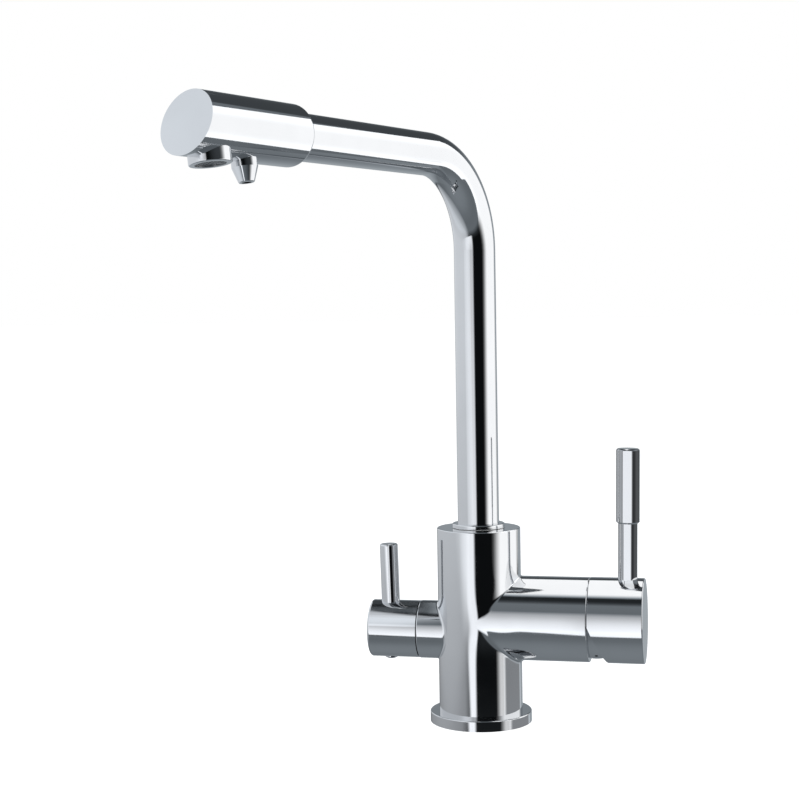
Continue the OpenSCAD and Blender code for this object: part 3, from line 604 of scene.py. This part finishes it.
def room_boxes(levers, filter_levers):
    """The soft boxes around the room, and the spout's and the two hubs' own ones."""
    hub, filter_hub = shown_on("main_lever", "lever_hub"), shown_on("filter_handle", "filter_hub")
    pipe = shown_on("spout", "spout_tube")
    left = wall_box(
        "left_wall_box", -85, 0.5, [(-152, 0.2), (-148, 1.0), (-34, 1.0), (-14, 0.0)],
        [(-0.45, 50), (-0.22, 128), (-0.14, 143), (-0.095, 161), (0.025, 181), (0.19, 200),
         (0.33, 200), (0.61, 186), (0.9, 190), (1.65, 190), (1.8, 120)], COOLER)
    only_on(left, levers, "EXCLUDE")
    rows = [
        (-3.4, 200), (-2.6, 240), (-1.5, 248), (-1.0, 246), (-0.44, 236), (0.12, 221),
        (0.69, 198), (1.28, 172), (1.5, 150), (1.75, 110), (2.1, 0)]
    sill = [
        (-60, -0.75), (-26, -0.75), (-17, -1.1), (-10, -1.8), (-8, -2.15), (-6, -2.75),
        (5, -3.1)]
    glow = front_glow("front_glow_box", [(-6, 1.0), (-0.5, 0.0)], rows, sill=sill)
    only_on(glow, levers + hub + pipe, "EXCLUDE")
    hub_glow = front_glow("hub_glow_box", [(3, 1.0), (6, 0.0)], rows, sill=sill)
    only_on(hub_glow, hub)
    pipe_glow = front_glow(
        "pipe_glow_box", [(-5.5, 1.0), (0, 0.3), (3, 0.0)],
        [(-1.0, 232), (-0.37, 222), (0.13, 202), (0.4, 190), (0.9, 150), (1.2, 0)], lean=0.035)
    only_on(pipe_glow, pipe)
    high = wall_box(
        "high_left_box", -24, 1.0, [(-36, 0.0), (-17, 1.0), (-14, 1.0)],
        [(0.3, 0), (0.4, 165), (0.7, 178), (1.1, 172), (1.7, 168), (1.8, 100)], COOLER)
    only_on(high, filter_hub)
    right = wall_box(
        "right_wall_box", 95, 0.62,
        [(44, 0.0), (49, 0.06), (54, 0.25), (60, 0.6), (68, 1.0), (129, 1.0), (141, 0.35),
         (147, 0.3)],
        [(-0.06, 247), (0.93, 247)], lean=0.3)
    only_on(right, levers + filter_levers, "EXCLUDE")
    spout_right = wall_box(
        "spout_right_box", 95, 0.62, [(100, 1.0), (145, 1.0), (147, 0.0)],
        [(-0.235, 247), (-0.06, 247)])
    only_on(spout_right, shown_on("spout"))


def body_boxes():
    """The body's own soft boxes: low on the right, and high on the right for its crease."""
    right = wall_box(
        "body_right_box", 69, 0.8, [(53, 0.0), (58, 0.2), (66, 0.7), (76, 0.7), (84, 0.0)],
        [(-0.5, 236), (-0.1, 236)])
    table = wall_box(
        "body_table_box", 115, 0.8, [(76, 1.0), (152, 1.0)], [(-0.6, 124), (-0.1, 126)], COOLER)
    high = wall_box(
        "body_high_box", 110, 0.8, [(50, 1.0), (170, 1.0)], [(0.75, 248), (3.5, 248)])
    for light in (right, table, high):
        only_on(light, shown_on("tap_body"))


def lever_boxes(levers, filter_levers):
    """The levers' own soft boxes, which give each its narrow upright bands."""
    low, top = -0.3, 0.8
    rod_high = wall_box(
        "rod_high_box", 0, 0.8, [(-65, 1.0), (65, 1.0)], [(0.7, 248), (3.0, 248)])
    only_on(rod_high, shown_on("main_lever", "lever_rod"))
    left = wall_box(
        "lever_left_box", -95, 0.6, [(-146, 1.0), (-50, 1.0)], [(low, 155), (top, 155)], COOLER)
    front = wall_box(
        "lever_front_box", -3, 1.0, [(-50, 0.0), (-41, 1.0), (38, 1.0), (50, 0.0)],
        [(low, 237), (top, 232)], COOL)
    right = wall_box(
        "lever_right_box", 105, 0.6,
        [(48, 0.6), (57, 0.4), (68, 0.27), (80, 0.52), (92, 0.9), (106, 1.0), (123, 0.65),
         (146, 0.9), (163, 1.0)],
        [(low, 82), (top, 82)], COOLER)
    for light in (left, front, right):
        only_on(light, levers)
    filter_front = wall_box(
        "filter_front_box", 2, 1.0, [(-3, 1.0), (8, 1.0), (14, 0.0)],
        [(low, 226), (top, 226)], COOL)
    filter_right = wall_box(
        "filter_right_box", 105, 0.6, [(45, 0.0), (62, 1.0), (155, 1.0)],
        [(low, 132), (top, 132)], COOLER)
    for light in (filter_front, filter_right):
        only_on(light, filter_levers)


class TAP_OT_studio(bpy.types.Operator):
    """Adds the pale floor, the soft boxes and the camera"""

    bl_idname = "tap.studio"
    bl_label = "Studio"

    def execute(self, context):
        studio = context.scene.tap_studio
        clear_selection()
        studio_world()
        pale_floor(studio)
        levers = shown_on("main_lever", "lever_rod", "grip_turned")
        filter_levers = shown_on("filter_handle", "filter_lever_turned")
        room_boxes(levers, filter_levers)
        body_boxes()
        lever_boxes(levers, filter_levers)
        place_camera(studio)
        context.scene.view_settings.view_transform = "Standard"
        return {"FINISHED"}


def clear_selection():
    """Leaves edit mode and deselects everything."""
    if bpy.context.object and bpy.context.object.mode != "OBJECT":
        bpy.ops.object.mode_set(mode="OBJECT")
    bpy.ops.object.select_all(action="DESELECT")


def smooth(value, low, high):
    """0 at low, 1 at high and smooth between."""
    t = min(1.0, max(0.0, (value - low) / (high - low)))
    return t * t * (3.0 - 2.0 * t)


def melt(a, b, reach):
    """The lesser of two distances, rounded where they differ by less than reach."""
    h = max(reach - abs(a - b), 0.0) / reach
    return min(a, b) - h * h * reach / 4.0


def branch_reach(x, z):
    """Reach of the fillet between barrel and branch: none where they run level, soft below."""
    share = (min(BARREL_R, max(0.0, x)) / BARREL_R) ** 2
    beyond = TOP_REACH - FRONT_REACH + BELOW_REACH * smooth(BRANCH_Z - z, -3.0, 3.0)
    return 1e-6 + share * (FRONT_REACH + smooth(x, *REACH_SPAN) * beyond)


def skin_depth(x, y, z):
    """Distance from the casting's outer skin in mm, below zero inside.

    The barrel swells and the branch stands proud a little in front, where they meet.
    Branch and stub end in a dome inside the barrel.
    """
    front = smooth(-y, *FRONT_SPAN)
    near = math.exp(-((z - BRANCH_Z) / SWELL_HEIGHT) ** 2)
    barrel = math.hypot(x, y) - BARREL_R - SWELL * front * near * smooth(x, *SWELL_SPAN)
    aside = min(0.0, 2.0 * (x - 2.5))
    proud = PROUD * front * (1.0 - smooth(x, *PROUD_SPAN))
    branch = math.sqrt(aside * aside + y * y + (z - BRANCH_Z) ** 2) - BRANCH_R - proud
    aside = max(0.0, 3.0 * x)
    stub = math.sqrt(aside * aside + y * y + (z - STUB_Z) ** 2) - STUB_R
    return melt(melt(barrel, branch, branch_reach(x, z)), stub, STUB_REACH)


def find_skin(point, low, high):
    """The point where a ray leaves the casting's skin, between two places along it."""
    for step in range(24):
        middle = (low + high) / 2
        if skin_depth(*point(middle)) < 0:
            low = middle
        else:
            high = middle
    return point((low + high) / 2)


class Shell:
    """Rings of points that grow into a closed mesh."""

    def __init__(self):
        self.points, self.faces = [], []

    def ring(self, points):
        """Adds points and gives their numbers."""
        start = len(self.points)
        self.points += points
        return list(range(start, len(self.points)))

    def band(self, first, second, flip=False):
        """Faces between two rings with as many points, round to the start."""
        for i in range(len(first)):
            k = (i + 1) % len(first)
            face = [first[i], first[k], second[k], second[i]]
            face = [v for n, v in enumerate(face) if v not in face[:n]]
            if len(face) > 2:
                self.faces.append(face[::-1] if flip else face)

    def circles(self, ring, place, stations, flip=False):
        """Bands from a ring through circles of the given radius and distance, then a cap."""
        for radius, along in stations:
            following = self.ring([place(k, radius, along) for k in range(len(ring))])
            self.band(ring, following, flip)
            ring = following
        self.faces.append(ring[::-1] if flip else ring)


def rounded_rim(radius, end, rounding, guard, steps):
    """Radii and places from a side over its rounded rim to its end face.

    A guard of the given width holds the side and the face flat beside the arc.
    """
    turns = [math.pi / 2 * step / steps for step in range(steps + 1)]
    arc = [(radius - rounding * (1 - math.cos(a)), end - rounding * (1 - math.sin(a)))
           for a in turns]
    return [(radius, arc[0][1] - guard)] + arc + [(arc[-1][0] - guard, end)]


def casting_rim(radius, end):
    """The rim of the barrel, the branch or the stub, without the ring that it starts at."""
    return rounded_rim(radius, end, RIM, RIM_GUARD, 4)[1:]


def casting_shell():
    """Outer skin, rims and open bores of the body casting as one closed shell."""
    shell = Shell()
    half, quarter, stub_half = 128, 36, 56

    crease = []
    for i in range(half + 1):
        turn = math.pi * i / half
        both = []
        for way in (1, -1):
            aside = BRANCH_R * math.sin(turn)
            more = branch_reach(aside, BRANCH_Z + way * aside) / 4.0
            radius = BRANCH_R + more
            y = -radius * math.cos(turn)
            x = math.sqrt((BARREL_R + more) ** 2 - y * y)
            both.append((math.atan2(y, x), BRANCH_Z + way * radius * math.sin(turn)))
        crease.append(both)
    columns = [(up[0], down[0], up[1], down[1]) for up, down in crease]

    outer, stub_radius = BARREL_R + STUB_REACH / 4, STUB_R + STUB_REACH / 4
    tip = math.asin(stub_radius / outer)
    start = columns[-1][0]
    for k in range(1, quarter):
        turn = start + (math.pi - tip - start) * k / quarter
        level = BRANCH_Z + (STUB_Z - BRANCH_Z) * smooth(k, 0, quarter)
        columns.append((turn, turn, level, level))
    first_stub = len(columns)
    for k in range(stub_half + 1):
        y = stub_radius * math.cos(math.pi * k / stub_half)
        rise = stub_radius * math.sin(math.pi * k / stub_half)
        turn = math.pi - math.asin(y / outer)
        columns.append((turn, turn, STUB_Z + rise, STUB_Z - rise))
    for k in range(1, quarter):
        turn = math.pi + tip + (math.tau + columns[0][0] - math.pi - tip) * k / quarter
        level = STUB_Z + (BRANCH_Z - STUB_Z) * smooth(k, 0, quarter)
        columns.append((turn, turn, level, level))

    def on_barrel(turn, z):
        return find_skin(lambda r: (r * math.cos(turn), r * math.sin(turn), z), 20.0, 26.0)

    rows = 30
    steps = [(k / rows) ** 2.3 for k in range(rows + 1)]
    seam_up = shell.ring([on_barrel(up_turn, up) for up_turn, turn, up, down in columns])
    seam_down = []
    for k, (up_turn, turn, up, down) in enumerate(columns):
        if abs(up - down) < 1e-6:
            seam_down.append(seam_up[k])
        else:
            seam_down += shell.ring([on_barrel(turn, down)])

    def barrel_place(turn_at):
        return lambda k, radius, along: (
            radius * math.cos(columns[k][turn_at]), radius * math.sin(columns[k][turn_at]), along)

    ring = seam_up
    for share in steps[1:]:
        following = shell.ring([
            on_barrel(c[0], c[2] + (BARREL_TOP - RIM - RIM_GUARD - c[2]) * share)
            for c in columns])
        shell.band(ring, following)
        ring = following
    shell.circles(ring, barrel_place(0), casting_rim(BARREL_R, BARREL_TOP) + SPOUT_BORE)
    ring = seam_down
    for share in steps[1:]:
        following = shell.ring([
            on_barrel(c[1], c[3] + (STEP_Z - c[3]) * share) for c in columns])
        shell.band(ring, following, flip=True)
        ring = following
    shell.circles(ring, barrel_place(1), [(STEP_R, STEP_Z), (STEP_R, 0.0)], flip=True)

    count = 2 * half
    seam = seam_up[:half + 1] + [seam_down[i] for i in range(half - 1, 0, -1)]
    angles = [math.pi * i / half for i in range(count)]
    ring = seam
    for share in steps[1:]:
        points = []
        for i, angle in enumerate(angles):
            across, rise = -math.cos(angle), math.sin(angle)
            x = shell.points[seam[i]][0]
            x += (BRANCH_END - RIM - RIM_GUARD - x) * share
            points.append(find_skin(
                lambda r: (x, r * across, BRANCH_Z + r * rise), 20.0, 26.0))
        following = shell.ring(points)
        shell.band(ring, following, flip=True)
        ring = following
    shell.circles(
        ring,
        lambda k, radius, along: (
            along, -radius * math.cos(angles[k]), BRANCH_Z + radius * math.sin(angles[k])),
        casting_rim(BRANCH_R, BRANCH_END) + CARTRIDGE_BORE, flip=True)

    last_stub = first_stub + stub_half
    seam = seam_up[first_stub:last_stub + 1]
    seam += [seam_down[i] for i in range(last_stub - 1, first_stub, -1)]
    angles = [math.pi * i / stub_half for i in range(2 * stub_half)]
    ring = seam
    for share in steps[2::2]:
        points = []
        for i, angle in enumerate(angles):
            across, rise = math.cos(angle), math.sin(angle)
            x = shell.points[seam[i]][0]
            x += (RIM + RIM_GUARD - STUB_END - x) * share
            points.append(find_skin(
                lambda r: (x, r * across, STUB_Z + r * rise), 14.0, 18.0))
        following = shell.ring(points)
        shell.band(ring, following, flip=True)
        ring = following
    shell.circles(
        ring,
        lambda k, radius, along: (
            -along, radius * math.cos(angles[k]), STUB_Z + radius * math.sin(angles[k])),
        casting_rim(STUB_R, STUB_END) + FILTER_BORE, flip=True)
    return shell


def carve(piece, cutters):
    """Cuts the cutters out of a piece and removes them."""
    for cutter in cutters:
        modifier = piece.modifiers.new("cut", "BOOLEAN")
        modifier.operation = "DIFFERENCE"
        modifier.solver = "EXACT"
        modifier.object = cutter
        bpy.context.view_layer.objects.active = piece
        bpy.ops.object.modifier_apply(modifier=modifier.name)
        bpy.data.objects.remove(cutter, do_unlink=True)


def drill(centre, radius, depth, rotation=(0, 0, 0)):
    """A round cutter whose centre, radius and depth are given in mm."""
    bpy.ops.mesh.primitive_cylinder_add(
        vertices=48, radius=radius * MM, depth=depth * MM,
        location=[v * MM for v in centre], rotation=rotation)
    return bpy.context.object


class TAP_OT_body(bpy.types.Operator):
    """Makes the body casting, whose branch and stub melt into the barrel"""

    bl_idname = "tap.body"
    bl_label = "Body casting"

    def execute(self, context):
        clear_selection()
        shell = casting_shell()
        mesh = bpy.data.meshes.new("body_casting")
        mesh.from_pydata(
            [tuple(v * MM for v in point) for point in shell.points], [], shell.faces)
        mesh.validate()
        piece = bpy.data.objects.new("body_casting", mesh)
        context.collection.objects.link(piece)
        cutters = [drill(centre, STUD_R, STUD_DEPTH) for centre in STUD_AT]
        cutters += [drill(centre, HOSE_R, HOSE_DEPTH) for centre in HOSES_AT]
        cutters.append(drill(SCREW_AT, SCREW_R, SCREW_DEPTH, (math.pi / 2, 0, 0)))
        carve(piece, cutters)
        clear_selection()
        piece.select_set(True)
        context.view_layer.objects.active = piece
        bpy.ops.object.shade_smooth_by_angle(angle=SMOOTH_BELOW)
        finish_piece(piece, "tap_body", "mixer_body")
        return {"FINISHED"}


def finish_piece(piece, body, *nodes):
    """Hangs a piece on its body in place of its solids, with their finish."""
    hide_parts(*nodes)
    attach(piece, body)
    dress(piece, SLOT_OF[nodes[0]])


def crown(radius, top, rounding):
    """Stations of a turned piece's rounded top rim, which is given in metres."""
    return rounded_rim(radius, top, rounding / MM, 0.05, 6)


def turned_piece(name, stations, place, hollow=False, vertices=144):
    """A turned piece, drawn out of a circle along its stations of radius and height in mm.

    A solid one starts and ends at a disc, and a hollow one comes back to its start.
    """
    clear_selection()
    radius, height = stations[0]
    bpy.ops.mesh.primitive_circle_add(
        vertices=vertices, radius=radius * MM, fill_type="NOTHING" if hollow else "NGON",
        location=(0, 0, height * MM))
    piece = bpy.context.object
    piece.name = piece.data.name = name
    bpy.ops.object.transform_apply(location=True, rotation=True, scale=True)
    bpy.ops.object.mode_set(mode="EDIT")
    bpy.ops.mesh.select_all(action="SELECT")
    for following, rise in stations[1:] + stations[:1] * hollow:
        bpy.ops.mesh.extrude_region_move(
            TRANSFORM_OT_translate={"value": (0, 0, (rise - height) * MM)})
        share = following / radius
        bpy.ops.transform.resize(value=(share, share, 1), center_override=(0, 0, rise * MM))
        radius, height = following, rise
    bpy.ops.mesh.select_all(action="SELECT")
    if hollow:
        bpy.ops.mesh.remove_doubles(threshold=0.000002)
    bpy.ops.mesh.normals_make_consistent(inside=False)
    bpy.ops.object.mode_set(mode="OBJECT")
    piece.matrix_world = place
    bpy.ops.object.transform_apply(location=True, rotation=True, scale=True)
    bpy.ops.object.shade_smooth_by_angle(angle=SMOOTH_BELOW)
    return piece


class TAP_OT_levers(bpy.types.Operator):
    """Turns the main lever's grip and the filter lever, with their rounded tops"""

    bl_idname = "tap.levers"
    bl_label = "Levers"

    def execute(self, context):
        shape = context.scene.tap_shape
        grip = turned_piece(
            "grip_turned",
            [(GRIP_BORE_R, GRIP_BORE_TOP), (GRIP_BORE_R, GRIP_FOOT), (GRIP_MOUTH_R, GRIP_FOOT),
             (GRIP_R, GRIP_FOOT + shape.grip_taper / MM)]
            + crown(GRIP_R, GRIP_TOP, shape.grip_crown),
            Matrix.Translation(LEVER_FOOT) @ Matrix.Rotation(LEVER_LEAN, 4, "Y"))
        finish_piece(grip, "main_lever", "lever_grip")
        lever = turned_piece(
            "filter_lever_turned",
            [(TENON_R, TENON_END), (TENON_R, 0.0), (FILTER_LEVER_R, 0.0)]
            + crown(FILTER_LEVER_R, FILTER_LEVER_TOP, shape.filter_crown),
            Matrix.Translation(FILTER_FOOT) @ Matrix.Rotation(FILTER_LEAN, 4, "Y"))
        finish_piece(lever, "filter_handle", "filter_lever")
        return {"FINISHED"}


class TAP_OT_rings(bpy.types.Operator):
    """Turns the base ring and the spout's collar"""

    bl_idname = "tap.rings"
    bl_label = "Base ring and collar"

    def execute(self, context):
        shape = context.scene.tap_shape
        ring = turned_piece(
            "base_ring_turned",
            [(BARREL_R, STEP_Z), (STEP_R, STEP_Z), (STEP_R, 0.0), (SEAL_IN, 0.0),
             (SEAL_IN, SEAL_H), (SEAL_OUT, SEAL_H), (SEAL_OUT, 0.0), (RING_R, 0.0)]
            + crown(RING_R, RING_TOP, shape.ring_rim) + [(BARREL_R, RING_TOP)],
            Matrix(), hollow=True, vertices=192)
        finish_piece(ring, "tap_body", "base_ring")
        collar = turned_piece(
            "collar_turned",
            [(PIPE_R, COLLAR_FOOT), (COLLAR_R, COLLAR_FOOT)]
            + crown(COLLAR_R, COLLAR_TOP, shape.collar_rim) + [(PIPE_R, COLLAR_TOP)],
            Matrix(), hollow=True)
        finish_piece(collar, "spout", "spout_collar")
        return {"FINISHED"}


class TAP_OT_finishes(bpy.types.Operator):
    """Gives every solid that still shows the finish of its slot"""

    bl_idname = "tap.finishes"
    bl_label = "Finishes"

    def execute(self, context):
        for name, solid in NODES.items():
            if not solid.hide_render:
                dress(solid, SLOT_OF[name])
        return {"FINISHED"}


class TAP_PT_panel(bpy.types.Panel):
    """Steps of the mixer tap"""

    bl_label = "Mixer Tap"
    bl_idname = "TAP_PT_panel"
    bl_space_type = "VIEW_3D"
    bl_region_type = "UI"
    bl_category = "Mixer Tap"

    def draw(self, context):
        for step in STEPS:
            self.layout.operator(step.bl_idname, text=step.bl_label)
        for group in (context.scene.tap_finish, context.scene.tap_shape, context.scene.tap_studio):
            for name in group.__annotations__:
                self.layout.prop(group, name)


GROUPS = (TapFinish, TapShape, TapStudio)
STEPS = (TAP_OT_body, TAP_OT_levers, TAP_OT_rings, TAP_OT_finishes, TAP_OT_studio)


def register():
    """Registers the classes and hangs the sizes on the scene."""
    for kind in (*GROUPS, *STEPS, TAP_PT_panel):
        bpy.utils.register_class(kind)
    bpy.types.Scene.tap_finish = bpy.props.PointerProperty(type=TapFinish)
    bpy.types.Scene.tap_shape = bpy.props.PointerProperty(type=TapShape)
    bpy.types.Scene.tap_studio = bpy.props.PointerProperty(type=TapStudio)


def unregister():
    """Takes the sizes and classes away again."""
    del bpy.types.Scene.tap_studio
    del bpy.types.Scene.tap_shape
    del bpy.types.Scene.tap_finish
    for kind in (TAP_PT_panel, *reversed(STEPS), *reversed(GROUPS)):
        bpy.utils.unregister_class(kind)


def main():
    """Builds every piece, then the studio."""
    register()
    bpy.ops.tap.body()
    bpy.ops.tap.levers()
    bpy.ops.tap.rings()
    bpy.ops.tap.finishes()
    bpy.ops.tap.studio()


if __name__ == "__main__":
    main()
